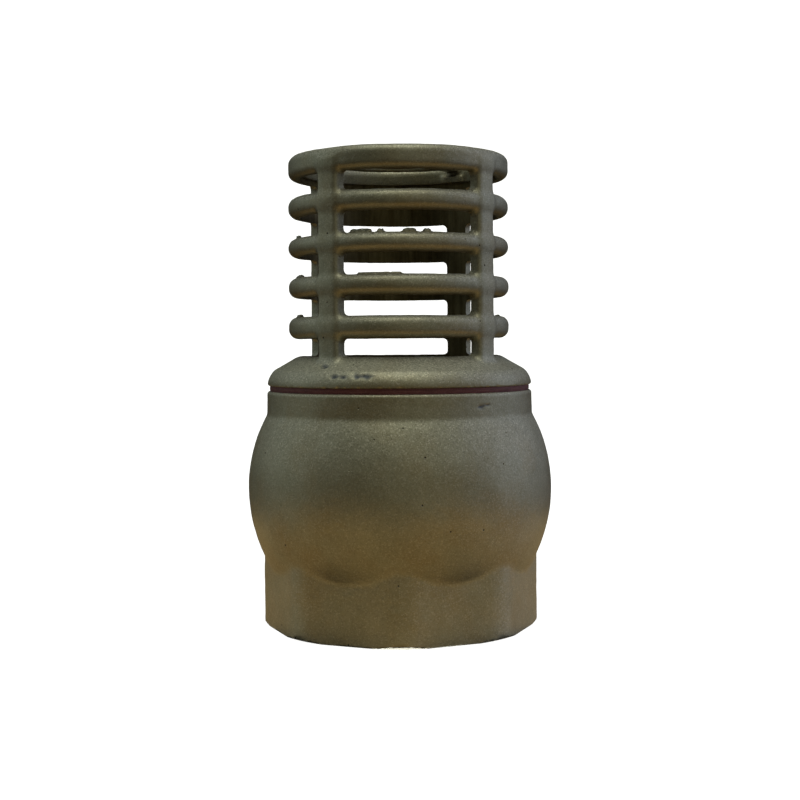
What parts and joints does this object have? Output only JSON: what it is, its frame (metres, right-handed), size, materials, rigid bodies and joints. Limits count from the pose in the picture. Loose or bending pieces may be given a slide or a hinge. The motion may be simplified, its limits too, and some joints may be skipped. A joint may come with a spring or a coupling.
{
  "type": "foot valve",
  "caption": "Cast brass foot valve: octagonal threaded socket, spherical chamber with a spring-loaded disc check, and a slotted strainer cage on a conical flange.",
  "frame": {"origin": "middle of the octagonal threaded end's face, which is the bottom of the valve as it stands", "axes": "+Z along the valve's axis towards the strainer's end; X and Y each pass through two corners of the octagon; the slots' middles lie 6.4 degrees past X and Y"},
  "size_m": [0.0838, 0.0838, 0.129],
  "materials": {
    "cast_brass": "shot-blasted casting",
    "machined_brass": "turned",
    "red_fibre": "matt vulcanised fibre",
    "nbr_rubber": "matt moulded rubber",
    "stainless_steel": "bright drawn",
    "ptfe": "satin"
  },
  "bodies": {
    "housing": {"valve_body": "cast_brass", "strainer_cage": "cast_brass", "flange_gasket": "red_fibre", "guide_spider": "cast_brass", "guide_bush": "ptfe", "closing_spring": "stainless_steel"},
    "spring_follower": {"spring_washer": "stainless_steel"},
    "poppet": {"spindle": "machined_brass", "valve_disc": "machined_brass", "disc_seal": "nbr_rubber", "seal_retainer": "machined_brass", "lock_washer": "stainless_steel", "disc_nut": "stainless_steel"}
  },
  "joints": [
    {"name": "poppet_lift", "type": "slide", "parent": "housing", "child": "spring_follower", "axis": [0, 0, -1], "range_m": [0, 0.01], "stiffness_N_per_m": 900, "springref_m": -0.005, "deforming": ["closing_spring"]},
    {"name": "poppet_spin", "type": "hinge", "parent": "spring_follower", "child": "poppet", "pos_m": [0, 0, 0.04845], "axis": [0, 0, 1], "continuous": true}
  ]
}
